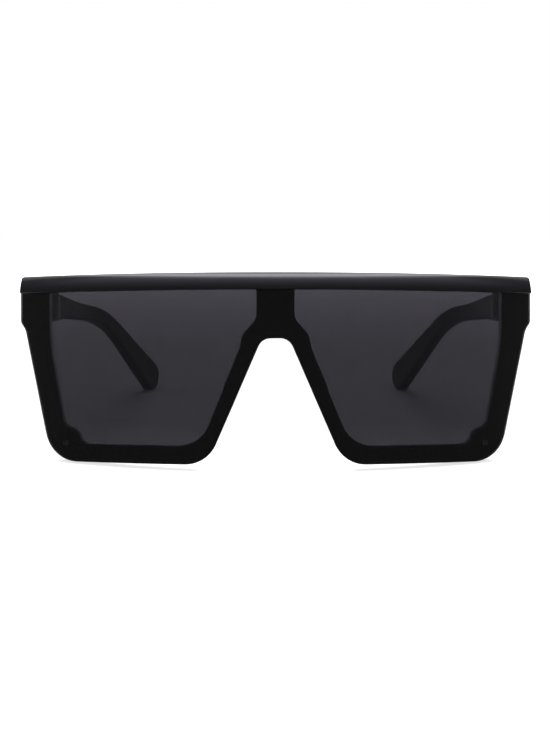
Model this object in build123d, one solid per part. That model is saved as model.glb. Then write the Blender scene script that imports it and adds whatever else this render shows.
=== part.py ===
from build123d import *
import math
import os

# Flat top shield sunglasses, in millimetres, standing open on their temple tips and lower rim corners.
# Every piece is drawn as worn, with the front upright, and is then tilted back onto the floor.
# The front faces -Y, the temples run to +Y, and left and right are the wearer's: left is +X.

# Front
lens_radius = 150.0  # front surface of the lens, round an upright axis behind it
front_half_width = 74.8
front_height = 53.4
lens_thickness = 2.0
lens_clearance = 0.1  # air behind and above the lens
rim_depth = 3.6
rim_top_drop = 0.2  # top rail below the top of the bar
overrun = 5.0  # how far cutting shapes run past what they cut

# Outline of the front, seen from ahead. Shares are of the half width across and of the height up.
foot_share = 0.8655
foot_radius = 9.8
step_inset = 1.6  # from the full half width
step_drop = 15.6  # below the top
step_radius = 5.4
end_drop = 13.3  # underside of the end pieces, below the top
end_radius = 1.6
lens_corner_radius = 0.6  # upper corners, behind the bar
rim_corner_radius = 2.0
nose_foot_share = 0.2540
nose_foot_radius = 9.4
arch_shares = 0.0503, 0.6564
arch_radius = 3.7
lens_edge_radius = 0.35

# Windows of the rim
strut_half_width = 5.3
top_rail = 4.0
bottom_rail = 4.95
side_rail = 8.95
window_radius = 1.2
strut_foot_share = 0.7603
shoulder_shares = 0.1244, 0.6760
shoulder_radius = 3.0
nasal_shares = 0.1360, 0.5908
nasal_radius = 13.0
nasal_foot_share = 0.2828
nasal_foot_radius = 9.6
window_knee_share = 0.6440
window_knee_radius = 60.0
window_foot_share = 0.8025
rim_edge_radius = 0.5

# Lens screws, at the lower outer corners
boss_outset = 0.2  # from the lower outer corner of the window
boss_rise = 0.4
boss_radius = 4.4
boss_blend = 2.4
lens_screw_radius = 0.5
lens_head_radius = 0.85
lens_head_height = 0.5
sleeve_radius = 0.8
nut_flat_radius = 1.2
nut_height = 0.9
slot_width = 0.25
slot_depth = 0.2
fit_clearance = 0.05  # round screws, sleeves and nuts

# Brow bar
bar_proud = 2.6
bar_height = 4.95
bar_inset = 0.4  # of its ends from the full half width
bar_end_slope = 0.4  # how much wider the bar is at its lower edge
bar_end_radius = 0.9
bar_end_lift = 0.02  # top of that rounding above the flat top, which it meets at a slight angle
bar_face_radius = 8.0  # the gentle curve of its face, upright at the lower edge
bar_crown_radius = 1.7  # the tight curve over to its flat top
bar_lap = 2.1  # how far the lens runs up behind the bar
bar_edge_radius = 0.3
bar_screw_shares = 0.3217, 0.6971  # of the half width
bar_screw_drop = 1.2
bar_screw_radius = 0.4
bar_screw_reach = 2.6  # into the bar
bar_head_radius = 0.8
bar_head_height = 0.5

# Nose pads
pad_shares = 0.1287, 0.5189  # middle of the pad, across and up the front
pad_length = 19.0
pad_width = 4.0
pad_depth = 5.6
pad_splay = 7.0  # degrees, opening towards the face
pad_edge_radius = 1.5

# End pieces and hinges
end_thickness = 7.0
end_reach = 3.52  # behind the outer rear edge of the rim
end_wrap = 4.0  # length over which the end piece narrows to the temple
end_top_drop = 2.4
end_edge_radius = 0.8
butt_gap = 0.1
butt_thickness = 4.6  # where the temple meets the end piece
barrel_radius = 1.25
barrel_clearance = 0.2  # round the barrels, in the plastic
knuckle_height = 1.5
knuckle_gap = 0.06
knuckle_count = 5
hinge_drop = 8.1  # middle of the barrels, below the top
pivot_radius = 0.6
pivot_head_radius = 1.05
pivot_head_height = 0.6
leaf_thickness = 0.8
front_leaf_length = 6.2
temple_leaf_length = 9.0
leaf_corner_radius = 0.8
leaf_screw_radius = 0.4
leaf_screw_spacing = 3.8
leaf_screw_setback = 1.7  # from the far end of the leaf
leaf_screw_reach = 2.4
leaf_head_radius = 0.75
leaf_head_height = 0.35

# Temples. Reaches run back from the end pieces.
temple_top_drop = 3.1  # below the top of the front
temple_height = 9.9  # at the hinge
waist_reach = 26.0
waist_height = 7.8
waist_radius = 300.0
bend_reach = 75.5
bend_fall = 2.1  # of the top edge, from the hinge to the bend
bend_height = 4.9
bend_radius = 50.0
tip_reach = 118.5
tip_fall = 27.9  # middle of the round tip, below the top edge at the hinge
tip_radius = 5.6
turn_reach = 57.5  # where the temples start to curve in
turn_radius = 100.0
turn_angle = 16.6  # degrees
temple_thickness = 3.8  # where they start to curve in
tip_thickness = 4.0
temple_edge_radius = 0.9
core_width = 1.2
core_clearance = 0.05
core_inset = 1.7  # middle of the core from the inner face
core_start = 0.5  # behind the front end of the temple
core_drop = 4.3  # below the top edge at the hinge

lens_back = lens_radius - lens_thickness
rim_front = lens_back - lens_clearance
rim_back = rim_front - rim_depth
bar_bottom = front_height - bar_height
lens_top = bar_bottom + bar_lap
rim_top = front_height - rim_top_drop
bar_half_width = front_half_width - bar_inset
bar_screw_height = front_height - bar_screw_drop

foot_half_width = foot_share * front_half_width
step_half_width = front_half_width - step_inset
step_height = front_height - step_drop
end_height = front_height - end_drop
end_top = front_height - end_top_drop
window_foot_half_width = window_foot_share * front_half_width
boss_x = window_foot_half_width + boss_outset
boss_height = bottom_rail + boss_rise

face_x = front_half_width - end_thickness  # inner faces of the end pieces and temples
butt_outer_x = face_x + butt_thickness
butt_y = lens_radius - math.sqrt(rim_back**2 - front_half_width**2) + end_reach
axis_x = face_x - barrel_radius
hinge_height = front_height - hinge_drop
barrel_length = knuckle_count * knuckle_height
barrel_low = hinge_height - barrel_length / 2
barrel_high = hinge_height + barrel_length / 2

temple_top = front_height - temple_top_drop
bend_top = temple_top - bend_fall
bend_y = butt_y + bend_reach
turn_y = butt_y + turn_reach
tip_y = butt_y + tip_reach
tip_height = temple_top - tip_fall

bench = Align.CENTER, Align.CENTER, Align.MIN
half_turn = 180.0  # degrees


def curve_y(x, radius):
    # Y of a shell of the front at this X
    return lens_radius - math.sqrt(radius**2 - x**2)


def ring(outer, inner):
    # upright shell round the axis of the front, taller than the front
    tall = front_height + 2 * overrun
    base = Pos(0, lens_radius, -overrun)
    shape = base * Cylinder(outer, tall, align=bench)
    if inner:
        shape -= base * Cylinder(inner, tall, align=bench)
    return shape


def slab(face):
    # an outline seen from ahead, run back through the whole front
    start = bar_proud + overrun
    depth = start + butt_y + overrun
    return Pos(0, -start, 0) * extrude(Plane.XZ * face, depth, dir=(0, 1, 0))


def peg(place, radius, low, high):
    # a round bar on the local Z axis of a place
    return place * Pos(0, 0, low) * Cylinder(radius, high - low, align=bench)


def block(x_low, x_high, y_low, y_high, z_low, z_high):
    size = x_high - x_low, y_high - y_low, z_high - z_low
    return Pos(x_low, y_low, z_low) * Box(*size, align=(Align.MIN, Align.MIN, Align.MIN))


def outward(x, z):
    # a place on the axis of the front, with local Z pointing out square to the lens at this X
    lean = math.asin(x / lens_radius)
    return Plane(origin=(0, lens_radius, z), x_dir=(0, 0, 1), z_dir=(math.sin(lean), -math.cos(lean), 0))


def mirrored(shape):
    return mirror(shape, about=Plane.YZ)


def on_front(shares):
    # a point of the front from its shares of the half width and of the height
    return shares[0] * front_half_width, shares[1] * front_height


def front_outline(top, corner):
    half = [
        on_front(arch_shares),
        on_front((nose_foot_share, 0)),
        (foot_half_width, 0),
        (step_half_width, step_height),
        (front_half_width, end_height),
        (front_half_width, top),
    ]
    radii = [arch_radius, nose_foot_radius, foot_radius, step_radius, end_radius, corner]
    points = half + [(-x, z) for x, z in reversed(half)]
    return make_face(FilletPolyline(*points, radius=radii + radii[::-1], close=True))


def nasal_foot():
    # lower end of the slanted side that the nose pad follows
    return nasal_foot_share * front_half_width, bottom_rail


def window_outline():
    top = front_height - top_rail
    side = front_half_width - side_rail
    corners = [
        (strut_half_width, top, window_radius),
        (strut_half_width, strut_foot_share * front_height, shoulder_radius),
        (*on_front(shoulder_shares), shoulder_radius),
        (*on_front(nasal_shares), nasal_radius),
        (*nasal_foot(), nasal_foot_radius),
        (window_foot_half_width, bottom_rail, window_radius),
        (side, window_knee_share * front_height, window_knee_radius),
        (side, top, window_radius),
    ]
    points = [(x, z) for x, z, _ in corners]
    radii = [radius for _, _, radius in corners]
    window = make_face(FilletPolyline(*points, radius=radii, close=True))
    window -= Pos(boss_x, boss_height) * Circle(boss_radius)
    return fillet(window.vertices().filter_by(on_boss), boss_blend)


def on_boss(vertex):
    reach = math.hypot(vertex.X - boss_x, vertex.Y - boss_height)
    return abs(reach - boss_radius) < fit_clearance


def brow_bar():
    front = lens_radius + bar_proud
    lip = lens_radius + lens_clearance
    groove_top = lens_top + lens_clearance
    turn = math.asin((bar_height - bar_crown_radius) / (bar_face_radius - bar_crown_radius))
    back, up = math.cos(turn), math.sin(turn)
    chin = (front, bar_bottom)
    brow = (front - bar_face_radius * (1 - back), bar_bottom + bar_face_radius * up)
    crown = (brow[0] - bar_crown_radius * back, front_height)
    lines = [
        Polyline(crown, (rim_front, front_height), (rim_front, groove_top)),
        Polyline((rim_front, groove_top), (lip, groove_top), (lip, bar_bottom), chin),
        TangentArc(chin, brow, tangent=(0, 1)),
        TangentArc(brow, crown, tangent=(-up, back)),
    ]
    section = make_face(lines)
    lower = section.vertices().sort_by_distance(chin)[0]
    section = fillet(lower, bar_edge_radius)
    plane = Plane(origin=(0, lens_radius, 0), x_dir=(1, 0, 0), z_dir=(0, -1, 0))
    hoop = revolve(plane * section, Axis((0, lens_radius, 0), (0, 0, -1)), half_turn)
    low, high = bar_bottom - overrun, front_height + bar_end_lift
    slope = bar_end_slope / bar_height
    half_low, half_high = [bar_half_width - slope * (z - bar_bottom) for z in (low, high)]
    points = [(-half_low, low), (half_low, low), (half_high, high), (-half_high, high)]
    ends = make_face(FilletPolyline(*points, radius=[0, 0, bar_end_radius, bar_end_radius], close=True))
    bar = hoop & slab(ends)
    for place in bar_screw_places():
        reach = rim_front + bar_screw_reach + fit_clearance
        bar -= peg(place, bar_screw_radius + fit_clearance, rim_front - overrun, reach)
    return bar


def bar_screw_places():
    half = [share * front_half_width for share in bar_screw_shares]
    return [outward(side * x, bar_screw_height) for x in half for side in (-1, 1)]


def shield_lens():
    lens = slab(front_outline(lens_top, lens_corner_radius)) & ring(lens_radius, lens_back)
    front = lens.faces().filter_by(GeomType.CYLINDER).sort_by(Axis.Y)[0]
    lens = fillet(front.outer_wire().edges(), lens_edge_radius)
    for side in (-1, 1):
        place = outward(side * boss_x, boss_height)
        lens -= peg(place, sleeve_radius + fit_clearance, lens_back - overrun, lens_radius + overrun)
        seat = lens_radius - lens_head_height
        lens -= peg(place, lens_head_radius + fit_clearance, seat, lens_radius + overrun)
    return lens


def rim_frame():
    window = slab(window_outline())
    rim = slab(front_outline(rim_top, rim_corner_radius)) - window - mirrored(window)
    rim &= ring(rim_front, rim_back)
    broad = rim.faces().filter_by(GeomType.CYLINDER).sort_by(lambda face: face.area)[-2:]
    back = broad.sort_by(Axis.Y)[-1]
    rim = fillet(back.edges(), rim_edge_radius)
    rim += end_piece() + mirrored(end_piece())
    for side in (-1, 1):
        place = outward(side * boss_x, boss_height)
        rim -= peg(place, lens_screw_radius + fit_clearance, rim_back - overrun, rim_front + overrun)
        rim -= nut_shape(place, fit_clearance, overrun)
    for place in bar_screw_places():
        rim -= peg(place, bar_screw_radius + fit_clearance, rim_back - overrun, rim_front + overrun)
        seat = rim_back + bar_head_height
        rim -= peg(place, bar_head_radius + fit_clearance, rim_back - overrun, seat)
    cuts = barrel_relief() + leaf_screw_holes(front_leaf_screw_places())
    return rim - cuts - mirrored(cuts)


def end_piece():
    # the left one: it carries on from the rim, narrows to the temple and ends flat
    front_y = curve_y(face_x, rim_front)
    points = [
        (face_x, front_y),
        (front_half_width, front_y),
        (front_half_width, butt_y - end_wrap),
        (butt_outer_x, butt_y),
        (face_x, butt_y),
    ]
    plan = make_face(FilletPolyline(*points, radius=[0, 0, end_wrap, 0, 0], close=True))
    shape = Pos(0, 0, end_height) * extrude(plan, end_top - end_height)
    long_edges = shape.edges().filter_by(GeomType.LINE).filter_by(Axis.X, reverse=True)
    outer = long_edges.filter_by(Axis.Z, reverse=True).filter_by(lambda edge: edge.center().X > butt_outer_x)
    shape = fillet(outer, end_edge_radius)
    return shape & ring(rim_front, 0)


def nut_shape(place, clearance, extra):
    hexagon = RegularPolygon(nut_flat_radius + clearance, 6, major_radius=False)
    low = rim_back - extra
    high = rim_back + nut_height
    return place * Pos(0, 0, low) * extrude(hexagon, high - low)


def head_slot(radius):
    # screwdriver slot right across a head, down from local Z 0
    return Box(2 * radius, slot_width, slot_depth, align=(Align.CENTER, Align.CENTER, Align.MAX))


def lens_screw():
    place = outward(boss_x, boss_height)
    seat = lens_radius - lens_head_height
    screw = peg(place, lens_screw_radius, rim_back, lens_radius)
    screw += peg(place, lens_head_radius, seat, lens_radius)
    return screw - place * Pos(0, 0, lens_radius) * head_slot(lens_head_radius)


def lens_sleeve():
    place = outward(boss_x, boss_height)
    seat = lens_radius - lens_head_height
    sleeve = peg(place, sleeve_radius, rim_front, seat)
    return sleeve - peg(place, lens_screw_radius + fit_clearance, rim_front, seat)


def lens_nut():
    place = outward(boss_x, boss_height)
    nut = nut_shape(place, 0, 0)
    return nut - peg(place, lens_screw_radius + fit_clearance, rim_back, rim_front)


def brow_bar_screws():
    screws = []
    seat = rim_back + bar_head_height
    for place in bar_screw_places():
        screw = peg(place, bar_screw_radius, seat, rim_front + bar_screw_reach)
        screw += peg(place, bar_head_radius, rim_back, seat)
        screws.append(screw - place * Pos(0, 0, rim_back + slot_depth) * head_slot(bar_head_radius))
    return Compound(screws)


def nose_pad():
    upper_x, upper_z = on_front(nasal_shares)
    foot_x, foot_z = nasal_foot()
    lean = math.degrees(math.atan2(foot_x - upper_x, upper_z - foot_z))
    outline = Pos(*on_front(pad_shares)) * Rot(0, 0, 90 + lean) * SlotOverall(pad_length, pad_width)
    face_y = curve_y(on_front(pad_shares)[0], rim_back)
    splay = math.radians(pad_splay)
    lead = face_y * math.tan(splay)
    depth = (face_y + pad_depth) / math.cos(splay)
    along = (math.sin(splay), math.cos(splay), 0)
    pad = extrude(Plane.XZ * outline, depth, dir=along)
    crest = pad.faces().sort_by(Axis.Y)[-1]
    pad = fillet(crest.edges(), pad_edge_radius)
    return Pos(-lead, 0, 0) * pad & ring(rim_back, 0)


def knuckle_span(index):
    low = barrel_low + index * knuckle_height
    return low + knuckle_gap / 2, low + knuckle_height - knuckle_gap / 2


def pivot():
    return Plane(origin=(axis_x, butt_y, 0), z_dir=(0, 0, 1))


def hinge_leaf(first, length):
    # a plate on the inner face with knuckles at every second place, running back if the length is positive
    low, high = knuckle_span(0)[0], knuckle_span(knuckle_count - 1)[1]
    ends = sorted((butt_y, butt_y + length))
    leaf = block(face_x - leaf_thickness, face_x, *ends, low, high)
    far = leaf.edges().filter_by(Axis.X).sort_by_distance((face_x, butt_y + length, hinge_height))[:2]
    leaf = fillet(far, leaf_corner_radius)
    for index in range(knuckle_count):
        low, high = knuckle_span(index)
        if (index - first) % 2:
            leaf -= peg(pivot(), barrel_radius + barrel_clearance, low - knuckle_gap, high + knuckle_gap)
        else:
            leaf += peg(pivot(), barrel_radius, low, high)
    return leaf - peg(pivot(), pivot_radius + fit_clearance, barrel_low, barrel_high)


def front_leaf_screw_places():
    return leaf_screw_places(butt_y - front_leaf_length + leaf_screw_setback)


def temple_leaf_screw_places():
    return leaf_screw_places(butt_y + temple_leaf_length - leaf_screw_setback)


def leaf_screw_places(y):
    half = leaf_screw_spacing / 2
    return [Plane(origin=(face_x, y, hinge_height + dz), z_dir=(-1, 0, 0)) for dz in (-half, half)]


def leaf_screw_holes(places):
    radius = leaf_screw_radius + fit_clearance
    depth = leaf_screw_reach + fit_clearance
    holes = [peg(place, radius, -depth, leaf_thickness + overrun) for place in places]
    return holes[0] + holes[1]


def leaf_screws(places):
    screws = []
    for place in places:
        screw = peg(place, leaf_screw_radius, -leaf_screw_reach, leaf_thickness)
        top = leaf_thickness + leaf_head_height
        screw += peg(place, leaf_head_radius, leaf_thickness, top)
        screws.append(screw - place * Pos(0, 0, top) * head_slot(leaf_head_radius))
    return Compound(screws)


def hinge_screw():
    top = barrel_high + pivot_head_height
    screw = peg(pivot(), pivot_radius, barrel_low, barrel_high)
    screw += peg(pivot(), pivot_head_radius, barrel_high, top)
    return screw - pivot() * Pos(0, 0, top) * head_slot(pivot_head_radius)


def barrel_relief():
    low = barrel_low - barrel_clearance
    high = barrel_high + pivot_head_height + barrel_clearance
    return peg(pivot(), barrel_radius + barrel_clearance, low, high)


def tip_corner(y, z, side):
    # where the straight upper (1) or lower (-1) edge from this bend runs into the round tip
    run, fall = tip_y - y, z - tip_height
    slope = math.atan2(fall, run) - side * math.asin(tip_radius / math.hypot(run, fall))
    return tip_y + side * tip_radius * math.sin(slope), tip_height + side * tip_radius * math.cos(slope)


def inner_line(inset, start):
    # plan of a temple's inner face, moved outward by the inset
    end_y = tip_y + tip_radius + overrun
    turn = math.radians(turn_angle)
    end_x = face_x - (end_y - turn_y) * math.tan(turn)
    shift = inset / math.cos(turn)
    corner_y = turn_y + inset * math.tan(turn / 2)
    return [(face_x + inset, start), (face_x + inset, corner_y), (end_x + shift, end_y)]


def temple():
    start = butt_y + butt_gap
    upper = bend_y, bend_top
    lower = bend_y, bend_top - bend_height
    side_corners = [
        (start, temple_top, 0),
        (*upper, bend_radius),
        (*tip_corner(*upper, 1), 0),
        (*tip_corner(*lower, -1), 0),
        (*lower, bend_radius),
        (butt_y + waist_reach, temple_top - waist_height, waist_radius),
        (start, temple_top - temple_height, 0),
    ]
    points = [(y, z) for y, z, _ in side_corners]
    radii = [radius for _, _, radius in side_corners]
    side = make_face(FilletPolyline(*points, radius=radii, close=True))
    side += Pos(tip_y, tip_height) * Circle(tip_radius)
    inner = inner_line(0, start)
    bend, end = inner_line(temple_thickness, start)[1], inner_line(tip_thickness, start)[2]
    outer = [(butt_outer_x, start), bend, end]
    radii = [0, turn_radius, 0, 0, turn_radius, 0]
    plan = make_face(FilletPolyline(*inner, *outer[::-1], radius=radii, close=True))
    shape = extrude(Plane.YZ * side, front_half_width) & extrude(plan, front_height)
    across = shape.edges().filter_by(Axis.X) + shape.edges().filter_by(Axis.Z)
    shape = fillet(shape.edges() - across, temple_edge_radius)
    shape -= core(start - core_start, core_width + 2 * core_clearance)
    holes = barrel_relief() + leaf_screw_holes(temple_leaf_screw_places())
    return shape - holes


def core(start, width):
    middle_bend = bend_y, bend_top - bend_height / 2
    tip = tip_y, tip_height
    side_line = FilletPolyline((start, temple_top - core_drop), middle_bend, tip, radius=[bend_radius])
    plan_line = FilletPolyline(*inner_line(core_inset, start), radius=[turn_radius])
    side = extrude(Plane.YZ * trace(side_line, width), front_half_width)
    return side & extrude(trace(plan_line, width), front_height)


def temple_core():
    return core(butt_y + butt_gap + core_start, core_width)


def rest_tilt():
    # lean and lift that bring the lower rear edge of the rim and the temple tips onto one floor
    side_turn = math.atan2(step_height, step_half_width - foot_half_width)
    contact_x = foot_half_width - foot_radius * math.tan(side_turn / 2)
    contact_y = curve_y(contact_x, rim_back + rim_edge_radius)
    run, rise = tip_y - contact_y, tip_height - rim_edge_radius
    tilt = math.atan2(rise, run) - math.asin((tip_radius - rim_edge_radius) / math.hypot(run, rise))
    lift = contact_y * math.sin(tilt) + rim_edge_radius * (1 - math.cos(tilt))
    return tilt, lift


def pieces():
    whole = {
        "brow_bar": brow_bar(),
        "rim_frame": rim_frame(),
        "shield_lens": shield_lens(),
        "brow_bar_screws": brow_bar_screws(),
    }
    left = {
        "nose_pad": nose_pad(),
        "lens_screw": lens_screw(),
        "lens_sleeve": lens_sleeve(),
        "lens_nut": lens_nut(),
        "hinge_front_leaf": hinge_leaf(0, -front_leaf_length) - leaf_screw_holes(front_leaf_screw_places()),
        "hinge_temple_leaf": hinge_leaf(1, temple_leaf_length) - leaf_screw_holes(temple_leaf_screw_places()),
        "hinge_screw": hinge_screw(),
        "front_leaf_screws": leaf_screws(front_leaf_screw_places()),
        "temple_leaf_screws": leaf_screws(temple_leaf_screw_places()),
        "temple": temple(),
        "temple_core": temple_core(),
    }
    for name, shape in left.items():
        whole[name + "_left"] = shape
        whole[name + "_right"] = mirrored(shape)
    return whole


def stand(shapes):
    # tilts the worn pieces back onto the floor, with the origin at the middle of their footprint
    tilt, lift = rest_tilt()
    lean = Pos(0, 0, lift) * Rot(-math.degrees(tilt), 0, 0)
    placed = {name: lean * shape for name, shape in shapes.items()}
    boxes = [shape.bounding_box() for shape in placed.values()]
    middle = (min(box.min.Y for box in boxes) + max(box.max.Y for box in boxes)) / 2
    return {name: Pos(0, -middle, 0) * shape for name, shape in placed.items()}, tilt, lift, middle


standing, tilt, lift, middle = stand(pieces())
os.makedirs("parts", exist_ok=True)
for name, shape in standing.items():
    export_step(shape, f"parts/{name}.step")
print(f"tilt {math.degrees(tilt):.3f} degrees, lift {lift:.3f}, middle {middle:.3f}")
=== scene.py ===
import math

import bmesh
import bpy
from mathutils import Euler, Matrix


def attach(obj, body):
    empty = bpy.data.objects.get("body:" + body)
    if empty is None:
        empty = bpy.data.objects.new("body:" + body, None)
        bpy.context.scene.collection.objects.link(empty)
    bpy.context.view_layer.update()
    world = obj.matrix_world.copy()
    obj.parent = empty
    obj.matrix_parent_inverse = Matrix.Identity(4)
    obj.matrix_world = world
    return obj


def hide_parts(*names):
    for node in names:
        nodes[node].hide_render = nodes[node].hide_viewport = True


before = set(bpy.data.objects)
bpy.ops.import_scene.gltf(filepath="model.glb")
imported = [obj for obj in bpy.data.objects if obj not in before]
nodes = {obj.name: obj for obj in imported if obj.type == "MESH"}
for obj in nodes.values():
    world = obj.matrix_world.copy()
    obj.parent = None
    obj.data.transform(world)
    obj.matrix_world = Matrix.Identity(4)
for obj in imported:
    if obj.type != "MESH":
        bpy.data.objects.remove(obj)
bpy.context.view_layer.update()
print("frame loaded,", len(nodes), "nodes")


# camera, at the height of someone looking slightly down on the front
camera = {
    "place": (0.0, -0.3787, 0.0701),
    "pitch": -7.70,  # degrees
    "lens": 54.55,
    "sensor": 36.0,
    "shift": (-0.0007, 0.0007),
    "nearest": 0.01,
}


def addCamera():
    data = bpy.data.cameras.new("camera")
    data.lens = camera["lens"]
    data.sensor_width = camera["sensor"]
    data.shift_x, data.shift_y = camera["shift"]
    data.clip_start = camera["nearest"]
    eye = bpy.data.objects.new("camera", data)
    eye.location = camera["place"]
    eye.rotation_euler = Euler((math.radians(90 + camera["pitch"]), 0, 0))
    bpy.context.scene.collection.objects.link(eye)
    bpy.context.scene.camera = eye


addCamera()
print("camera placed")


def connect(tree, socket, value):
    if isinstance(value, Wire):
        tree.links.new(value.socket, socket)
    else:
        socket.default_value = value


def setStops(scale, stops):
    while len(scale.elements) < len(stops):
        scale.elements.new(0.5)
    for element, (place, level) in zip(scale.elements, stops):
        element.position = place
        element.color = (level, level, level, 1)


class Wire:
    # wraps a socket, so that shader maths on values is written as plain expressions
    def __init__(self, tree, socket=None):
        self.tree = tree
        self.socket = socket

    def node(self, kind, settings=None, sockets=None, out=0):
        # settings come first, because some of them change the sockets
        made = self.tree.nodes.new(kind)
        for name, value in (settings or {}).items():
            if name == "stops":
                setStops(made.color_ramp, value)
            else:
                setattr(made, name, value)
        for name, value in (sockets or {}).items():
            connect(self.tree, made.inputs[name], value)
        return Wire(self.tree, made.outputs[out] if made.outputs else None)

    def maths(self, operation, first, second):
        return self.node("ShaderNodeMath", {"operation": operation}, {0: first, 1: second})

    def __add__(self, other):
        return self.maths("ADD", self, other)

    def __radd__(self, other):
        return self.maths("ADD", other, self)

    def __sub__(self, other):
        return self.maths("SUBTRACT", self, other)

    def __rsub__(self, other):
        return self.maths("SUBTRACT", other, self)

    def __mul__(self, other):
        return self.maths("MULTIPLY", self, other)

    def __rmul__(self, other):
        return self.maths("MULTIPLY", other, self)

    def __abs__(self):
        return self.maths("ABSOLUTE", self, 0.0)


def newTree(name):
    material = bpy.data.materials.new(name)
    material.use_nodes = True
    material.node_tree.nodes.clear()
    return material, Wire(material.node_tree)


def noise(wire, scale, detail, stretch=(1, 1, 1)):
    # noise on the object's own metres, with scale as features to a metre
    place = wire.node("ShaderNodeTexCoord", out="Object")
    size = tuple(scale * s for s in stretch)
    spread = wire.node("ShaderNodeVectorMath", {"operation": "MULTIPLY"}, {0: place, 1: size})
    sockets = {"Vector": spread, "Scale": 1.0, "Detail": detail}
    return wire.node("ShaderNodeTexNoise", {}, sockets)


def band(wire, value, low, high):
    # 0 below low, 1 above high
    settings = {"interpolation_type": "SMOOTHSTEP"}
    sockets = {"Value": value, "From Min": low, "From Max": high}
    return wire.node("ShaderNodeMapRange", settings, sockets)


def ramp(wire, value, stops):
    return wire.node("ShaderNodeValToRGB", {"stops": stops}, {"Fac": value})


def mixed(wire, share, first, second):
    # from the first colour to the second; these numbers are the mix node's colour sockets
    sockets = {"Factor": share, 6: (*first, 1), 7: (*second, 1)}
    return wire.node("ShaderNodeMix", {"data_type": "RGBA"}, sockets, out=2)


def bumped(wire, height, strength):
    sockets = {"Height": height, "Distance": 1.0, "Strength": strength}
    return wire.node("ShaderNodeBump", {}, sockets)


def splitPlace(wire):
    # the object's own x, y and z
    place = wire.node("ShaderNodeTexCoord", out="Object")
    kind = "ShaderNodeSeparateXYZ"
    return [wire.node(kind, {}, {"Vector": place}, out=i) for i in range(3)]


def finishTree(wire, shader):
    wire.node("ShaderNodeOutputMaterial", {}, {"Surface": shader})


def plastic(name, look):
    # moulded plastic: a soft mottle in the colour, handling marks in the shine,
    # a faint ripple and fine hairlines
    material, wire = newTree(name)
    mottle = noise(wire, look["mottle"], detail=4.0)
    marks = band(wire, noise(wire, look["marks"], detail=6.0), *look["markRange"])
    hairs = noise(wire, look["hairs"], detail=2.0, stretch=look["hairAlong"])
    hairs = band(wire, hairs, *look["hairRange"])
    ripple = noise(wire, look["ripple"], detail=2.0)
    height = ripple * look["rippleDepth"] - hairs * look["hairDepth"]
    sockets = {
        "Base Color": mixed(wire, mottle, look["dark"], look["light"]),
        "Roughness": look["rough"] + marks * look["markRough"],
        "Normal": bumped(wire, height, look["bump"]),
        "IOR": look["ior"],
    }
    finishTree(wire, wire.node("ShaderNodeBsdfPrincipled", {}, sockets))
    return material


def metal(name, look):
    # turned or drawn metal: brushing along one way and small tarnished patches
    material, wire = newTree(name)
    brushing = noise(wire, look["brush"], detail=2.0, stretch=look["along"])
    tarnish = noise(wire, look["tarnish"], detail=4.0)
    tarnish = band(wire, tarnish, *look["tarnishRange"])
    sockets = {
        "Base Color": mixed(wire, tarnish, look["clean"], look["dull"]),
        "Metallic": 1.0,
        "Roughness": look["rough"] + tarnish * look["tarnishRough"],
        "Normal": bumped(wire, brushing * look["brushDepth"], look["bump"]),
    }
    finishTree(wire, wire.node("ShaderNodeBsdfPrincipled", {}, sockets))
    return material


# the tinted shield: dark, polished, and clear enough to show what lies behind
lens = {
    "solidity": 0.8368,  # share that isn't seen through
    "through": (0.928, 0.91, 1.0),  # colour of what is seen through it
    "tint": (0.0018, 0.0017, 0.0026),
    "rough": 0.02,
    "smudges": 60.0,
    "smudgeRange": (0.5, 0.8),
    "smudgeRough": 0.05,
    "dust": 1400.0,
    "dustRange": (0.74, 0.8),
    "dustRough": 0.1,
    "ior": 1.5,
}


def lensMaterial():
    material, wire = newTree("tintedLens")
    smudges = band(wire, noise(wire, lens["smudges"], detail=5.0), *lens["smudgeRange"])
    dust = band(wire, noise(wire, lens["dust"], detail=1.0), *lens["dustRange"])
    rough = lens["rough"] + smudges * lens["smudgeRough"] + dust * lens["dustRough"]
    sockets = {"Base Color": (*lens["tint"], 1), "Roughness": rough, "IOR": lens["ior"]}
    solid = wire.node("ShaderNodeBsdfPrincipled", {}, sockets)
    clear = wire.node("ShaderNodeBsdfTransparent", {}, {"Color": (*lens["through"], 1)})
    sockets = {"Fac": lens["solidity"], 1: clear, 2: solid}
    finishTree(wire, wire.node("ShaderNodeMixShader", {}, sockets))
    return material


# plastics; mottle, marks, hairs and ripple are features to a metre, depths are in metres
barPlastic = {
    "dark": (0.0030, 0.0028, 0.0042),
    "light": (0.0052, 0.0050, 0.0070),
    "mottle": 90.0,
    "rough": 0.12,
    "marks": 70.0,
    "markRange": (0.45, 0.75),
    "markRough": 0.08,
    "hairs": 2500.0,
    "hairAlong": (1, 0.04, 1),
    "hairRange": (0.62, 0.7),
    "hairDepth": 0.000001,
    "ripple": 220.0,
    "rippleDepth": 0.00002,
    "bump": 0.4,
    "ior": 1.5,
}
framePlastic = dict(barPlastic, rough=0.18)
templePlastic = dict(
    barPlastic,
    dark=(0.005, 0.0052, 0.0068),
    light=(0.009, 0.0093, 0.0115),
    rough=0.33,
)
padPlastic = dict(
    barPlastic,
    dark=(0.01, 0.01, 0.01),
    light=(0.016, 0.016, 0.016),
    rough=0.42,
    ripple=900.0,
)
nylonPlastic = dict(padPlastic, rough=0.55)

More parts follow.
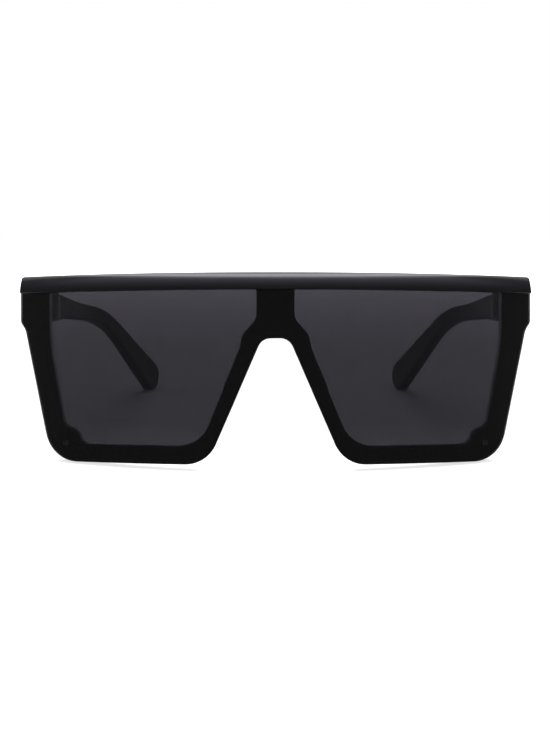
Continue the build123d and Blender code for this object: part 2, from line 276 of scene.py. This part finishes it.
# metals; brush and tarnish are features to a metre, the depth is in metres
steel = {
    "clean": (0.52, 0.51, 0.5),
    "dull": (0.34, 0.33, 0.31),
    "rough": 0.28,
    "brush": 9000.0,
    "along": (1, 0.05, 1),
    "brushDepth": 0.000004,
    "bump": 0.5,
    "tarnish": 700.0,
    "tarnishRange": (0.45, 0.7),
    "tarnishRough": 0.2,
}
hingeSteel = dict(
    steel,
    clean=(0.76, 0.76, 0.74),
    dull=(0.68, 0.68, 0.66),
    rough=0.5,
    tarnish=1500.0,
)
darkSteel = dict(steel, clean=(0.075, 0.075, 0.08), dull=(0.04, 0.04, 0.04), rough=0.35)
turnedSteel = dict(steel, along=(1, 1, 0.1))

darkScrew = metal("darkScrew", darkSteel)
steelScrew = metal("steelScrew", turnedSteel)
finishes = {
    "shield_lens": lensMaterial(),
    "brow_bar": plastic("barPlastic", barPlastic),
    "brow_bar_screws": darkScrew,
    "rim_frame": plastic("framePlastic", framePlastic),
    "nose_pad": plastic("padPlastic", padPlastic),
    "lens_sleeve": plastic("nylonSleeve", nylonPlastic),
    "lens_screw": darkScrew,
    "lens_nut": steelScrew,
    "front_leaf_screws": steelScrew,
    "hinge": metal("hingeMetal", hingeSteel),
    "temple": plastic("templePlastic", templePlastic),
    "temple_core": metal("coreWire", steel),
    "temple_leaf_screws": steelScrew,
}


def finishOf(name):
    # the longest start that fits, so that screws don't take the finish of what they hold
    starts = [start for start in finishes if name.startswith(start)]
    return finishes[max(starts, key=len)]


for name, thing in nodes.items():
    thing.data.materials.clear()
    thing.data.materials.append(finishOf(name))
print("finishes given")


millimetre = 0.001
# brow bar in mesh code, on the sizes of its solid, so that its gloss runs clean
# from end to end; in mm
browBar = {
    "lensRadius": 150.0,
    "proud": 2.6,
    "bottom": 48.45,
    "top": 53.397,
    "lip": 150.1,  # radius of the face that the lens lies against
    "back": 147.9,
    "grooveTop": 50.65,
    "edgeRadius": 0.3,
    "faceRadius": 8.0,
    "faceStart": 0.4,  # degrees above the chin's arc
    "crownRadius": 1.7,
    "crownGap": 0.3,  # behind the crown's middle, where the flat top starts
    "halfWidth": 74.4,
    "endSlope": 0.4,
    "endRadius": 0.9,
    "endLift": 0.02,
    "tilt": 7.248,  # degrees, as the glasses stand on their tips
    "lift": 2.129,
    "middle": 78.703,  # from the worn origin back to the middle of the placed box
    "columns": 160,
    "chinSteps": 8,
    "faceSteps": 28,
    "crownSteps": 16,
    "topSteps": 3,
    "backSteps": 8,
    "sharpAngle": 40.0,
    "endBevel": 0.16,
    "bevelSteps": 3,
    "bevelAngle": 60.0,
}


def arcPoints(centre, radius, start, end, steps):
    # angles in degrees from straight ahead, upwards
    points = []
    for i in range(steps + 1):
        turn = math.radians(start + (end - start) * i / steps)
        points.append((centre[0] + radius * math.cos(turn), centre[1] + radius * math.sin(turn)))
    return points


def linePoints(start, end, steps):
    return [tuple(a + (b - a) * i / steps for a, b in zip(start, end)) for i in range(steps)]


def barSection(bar):
    # closed loop of (radius, height), from the chin over the face and crown to the back
    front = bar["lensRadius"] + bar["proud"]
    bottom, top, back = bar["bottom"], bar["top"], bar["back"]
    edge, face, crown = bar["edgeRadius"], bar["faceRadius"], bar["crownRadius"]
    chinTop = math.degrees(math.asin(edge / face))
    up = math.asin((top - bottom - crown) / (face - crown))
    rise = math.degrees(up)
    chinCentre = (front - edge, bottom + edge)
    faceCentre = (front - face, bottom)
    reach = face - crown
    crownCentre = (faceCentre[0] + reach * math.cos(up), faceCentre[1] + reach * math.sin(up))
    points = arcPoints(chinCentre, edge, -90, 0, bar["chinSteps"])
    points += arcPoints(faceCentre, face, chinTop + bar["faceStart"], rise, bar["faceSteps"])
    points += arcPoints(crownCentre, crown, rise, 90, bar["crownSteps"])[1:]
    points += linePoints((crownCentre[0] - bar["crownGap"], top), (back, top), bar["topSteps"])
    points += linePoints((back, top), (back, top - bar["endRadius"]), bar["backSteps"])
    points += [(back, bar["grooveTop"]), (bar["lip"], bar["grooveTop"]), (bar["lip"], bottom)]
    return points


def barHalfWidth(bar, height):
    # the ends lean in a little and round over at the top
    share = (height - bar["bottom"]) / (bar["top"] - bar["bottom"])
    wide = bar["halfWidth"] - bar["endSlope"] * share
    over = height - (bar["top"] + bar["endLift"] - bar["endRadius"])
    if over > 0:
        wide -= bar["endRadius"] - math.sqrt(bar["endRadius"] ** 2 - over**2)
    return wide


def barLoops(bar, mesh):
    # the section at each column, as worn, then leaned back and set down on the floor
    section = barSection(bar)
    lean = Matrix.Rotation(math.radians(-bar["tilt"]), 4, "X")
    place = Matrix.Translation((0, -bar["middle"], bar["lift"])) @ lean
    loops = []
    for j in range(bar["columns"] + 1):
        share = 2 * j / bar["columns"] - 1
        loop = []
        for radius, height in section:
            turn = share * math.asin(barHalfWidth(bar, height) / radius)
            ahead = bar["lensRadius"] - radius * math.cos(turn)
            spot = place @ Matrix.Translation((radius * math.sin(turn), ahead, height))
            loop.append(mesh.verts.new(spot.translation * millimetre))
        loops.append(loop)
    return loops


def addBrowBar(bar):
    mesh = bmesh.new()
    loops = barLoops(bar, mesh)
    count = len(loops[0])
    for first, second in zip(loops, loops[1:]):
        for i in range(count):
            k = (i + 1) % count
            mesh.faces.new((first[i], first[k], second[k], second[i]))
    mesh.faces.new(loops[0])
    mesh.faces.new(loops[-1])
    bmesh.ops.recalc_face_normals(mesh, faces=mesh.faces)
    data = bpy.data.meshes.new("browBar")
    mesh.to_mesh(data)
    mesh.free()
    data.shade_smooth()
    data.set_sharp_from_angle(angle=math.radians(bar["sharpAngle"]))
    data.materials.append(finishes["brow_bar"])
    thing = bpy.data.objects.new("browBar", data)
    bpy.context.scene.collection.objects.link(thing)
    bevel = thing.modifiers.new("ends", "BEVEL")
    bevel.width = bar["endBevel"] * millimetre
    bevel.segments = bar["bevelSteps"]
    bevel.limit_method = "ANGLE"
    bevel.angle_limit = math.radians(bar["bevelAngle"])
    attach(thing, "front")
    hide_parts("brow_bar")


addBrowBar(browBar)
print("brow bar swept")


# studio: white paper with painted light on it, a softbox above and a lamp behind
studio = {
    "floorSize": 6.0,
    "floorColour": 0.8,
    # painted light on the paper from front to back, then far to each side: strong in front,
    # which washes the shadow there out, weak just behind the front and under the temples,
    # painted shade there, and strong again far off
    "glow": [(0.0, 0.75), (0.28, 0.75), (0.33, 0.15), (0.5, 0.15), (1.0, 0.8)],
    "glowStart": -0.4,
    "glowReach": 1.2,
    "sideGlow": 0.8,
    "sideReach": (0.12, 0.3),
    "sky": 0.3,
}
softbox = {
    "size": (0.8, 0.6),
    "place": (0.0, -0.1, 0.75),
    "turn": 0.0,  # degrees from straight down
    "power": 4.0,
}
backLamp = {
    "size": (0.7, 0.25),
    "place": (0.0, 1.1, 0.7),
    "turn": -57.0,
    "power": 17.5,
}

# painted reflection: a hood round the front that only gloss shows, standing in for a studio's
# flags on a glossy black thing:
# dark low down, with a lit strip high in the middle that paints the highlight along the brow bar
paintedReflectionHood = {
    "radius": 0.6,
    "top": 72.0,  # degrees up
    "reach": 88.0,  # degrees round to each side
    "rows": 24,
    "columns": 48,
    # the dark foot of the painted reflection, a little lighter round to each side
    "low": 0.145,
    "lowSide": 0.035,
    "lowSideReach": (45.0, 75.0),
    # violet tint of the painted reflection
    "colour": (1.02, 0.99, 1.16),
    # base and strip rise with the sine of the height
    "base": 1.0,
    "baseRise": [(0.3, 0.0), (0.44, 0.1), (0.57, 0.27), (0.69, 0.52), (0.79, 0.85), (0.95, 1.0)],
    "baseReach": (62.0, 78.0),
    "baseDim": 0.6,
    "strip": 7.0,
    "stripRise": [(0.79, 0.0), (0.84, 0.25), (0.88, 0.85), (0.92, 1.0)],
    "stripHalf": (0.58, 0.74),  # of the radius, where it ends
}
# painted reflection: a level sheet on the floor in front that only gloss shows, as dark as the
# hood's foot, so the white floor there reflects dark
paintedReflectionApron = {
    "x": (-0.6, 0.6),
    "y": (-0.6, -0.045),
    "z": 0.0003,
    "glow": 0.145,
}
# painted reflection: a glowing sheet that only gloss shows, for the face of the softbox as the
# gloss shows it, since the lamps are kept out of the gloss
paintedBoxReflection = {
    "x": (-0.42, 0.42),
    "y": (-0.34, 0.5),
    "z": 0.7,
    "glow": 4.0,
}


def seenRays(wire):
    # 1 for rays from the camera, and for those that mirrors and clear parts send on
    names = ("Is Camera Ray", "Is Glossy Ray", "Is Transmission Ray")
    direct, glossy, through = [wire.node("ShaderNodeLightPath", out=name) for name in names]
    return wire.maths("MAXIMUM", direct, wire.maths("MAXIMUM", glossy, through))


def addSky():
    world = bpy.data.worlds.new("studio")
    world.use_nodes = True
    world.node_tree.nodes.clear()
    wire = Wire(world.node_tree)
    level = seenRays(wire) * (1 - studio["sky"]) + studio["sky"]
    glow = wire.node("ShaderNodeBackground", {}, {"Color": level})
    wire.node("ShaderNodeOutputWorld", {}, {"Surface": glow})
    bpy.context.scene.world = world


def stageMesh(name, points, faces, material):
    mesh = bpy.data.meshes.new(name)
    mesh.from_pydata(points, [], faces)
    mesh.materials.append(material)
    thing = bpy.data.objects.new(name, mesh)
    bpy.context.scene.collection.objects.link(thing)
    return thing


def addFloor():
    material, wire = newTree("floorPaper")
    paper = wire.node("ShaderNodeBsdfDiffuse", {}, {"Color": (*[studio["floorColour"]] * 3, 1)})
    across, back, up = splitPlace(wire)
    # painted light and shade on the paper: a glow that camera, gloss and see-through rays see,
    # strong in front and far off, weak behind the front
    along = (back - studio["glowStart"]) * (1 / studio["glowReach"])
    level = ramp(wire, along, studio["glow"])
    aside = band(wire, abs(across), *studio["sideReach"])
    level = level + aside * (studio["sideGlow"] - level)
    glow = wire.node("ShaderNodeEmission", {}, {"Color": level * seenRays(wire)})
    finishTree(wire, wire.node("ShaderNodeAddShader", {}, {0: paper, 1: glow}))
    half = studio["floorSize"] / 2
    corners = [(-half, -half, 0), (half, -half, 0), (half, half, 0), (-half, half, 0)]
    stageMesh("floor", corners, [(0, 1, 2, 3)], material)


def addLamp(name, lamp):
    data = bpy.data.lights.new(name, "AREA")
    data.shape = "RECTANGLE"
    data.size, data.size_y = lamp["size"]
    data.energy = lamp["power"]
    thing = bpy.data.objects.new(name, data)
    thing.location = lamp["place"]
    thing.rotation_euler = Euler((math.radians(lamp["turn"]), 0, 0))
    # the lamps are kept out of the gloss; glowing sheets paint their reflection instead
    thing.visible_glossy = False
    bpy.context.scene.collection.objects.link(thing)


def hoodMaterial():
    material, wire = newTree("paintedReflectionHood")
    # painted reflection: glow by height and by turn round the front, for the gloss only
    across, along, up = splitPlace(wire)
    turn = wire.maths("ARCTAN2", abs(across), 0 - along) * (180 / math.pi)
    aside = abs(across) * (1 / paintedReflectionHood["radius"])
    sine = up * (1 / paintedReflectionHood["radius"])
    base = ramp(wire, sine, paintedReflectionHood["baseRise"]) * paintedReflectionHood["base"]
    base = base * (1 - band(wire, turn, *paintedReflectionHood["baseReach"]) * paintedReflectionHood["baseDim"])
    strip = ramp(wire, sine, paintedReflectionHood["stripRise"]) * paintedReflectionHood["strip"]
    strip = strip * (1 - band(wire, aside, *paintedReflectionHood["stripHalf"]))
    scaled = {0: paintedReflectionHood["colour"], "Scale": base + strip}
    tinted = wire.node("ShaderNodeVectorMath", {"operation": "SCALE"}, scaled)
    low = paintedReflectionHood["low"] + band(wire, turn, *paintedReflectionHood["lowSideReach"]) * paintedReflectionHood["lowSide"]
    glow = wire.node("ShaderNodeEmission", {}, {"Color": tinted})
    dim = wire.node("ShaderNodeEmission", {}, {"Color": low})
    finishTree(wire, wire.node("ShaderNodeAddShader", {}, {0: glow, 1: dim}))
    return material


def onlyReflected(thing):
    # seen only in gloss, so what it shows is a painted reflection
    thing.visible_camera = False
    thing.visible_diffuse = False
    thing.visible_transmission = False
    thing.visible_shadow = False


def addHood():
    rows, columns, radius = paintedReflectionHood["rows"], paintedReflectionHood["columns"], paintedReflectionHood["radius"]
    top, reach = math.radians(paintedReflectionHood["top"]), math.radians(paintedReflectionHood["reach"])
    points, faces = [], []
    for i in range(rows + 1):
        height = top * i / rows
        wide = radius * math.cos(height)
        for j in range(columns + 1):
            turn = -reach + 2 * reach * j / columns
            spot = (wide * math.sin(turn), -wide * math.cos(turn), radius * math.sin(height))
            points.append(spot)
    for i in range(rows):
        for j in range(columns):
            first = i * (columns + 1) + j
            faces.append((first, first + 1, first + columns + 2, first + columns + 1))
    onlyReflected(stageMesh("paintedReflectionHood", points, faces, hoodMaterial()))


def addCard(name, card):
    # a level glowing sheet that only gloss shows, a painted reflection
    material, wire = newTree(name)
    finishTree(wire, wire.node("ShaderNodeEmission", {}, {"Strength": card["glow"]}))
    (left, right), (near, far), z = card["x"], card["y"], card["z"]
    points = [(left, near, z), (right, near, z), (right, far, z), (left, far, z)]
    onlyReflected(stageMesh(name, points, [(0, 1, 2, 3)], material))


addSky()
addFloor()
addLamp("softbox", softbox)
addLamp("backLamp", backLamp)
addHood()
addCard("paintedReflectionApron", paintedReflectionApron)
addCard("paintedBoxReflection", paintedBoxReflection)
bpy.context.scene.view_settings.view_transform = "Standard"
print("studio lit")
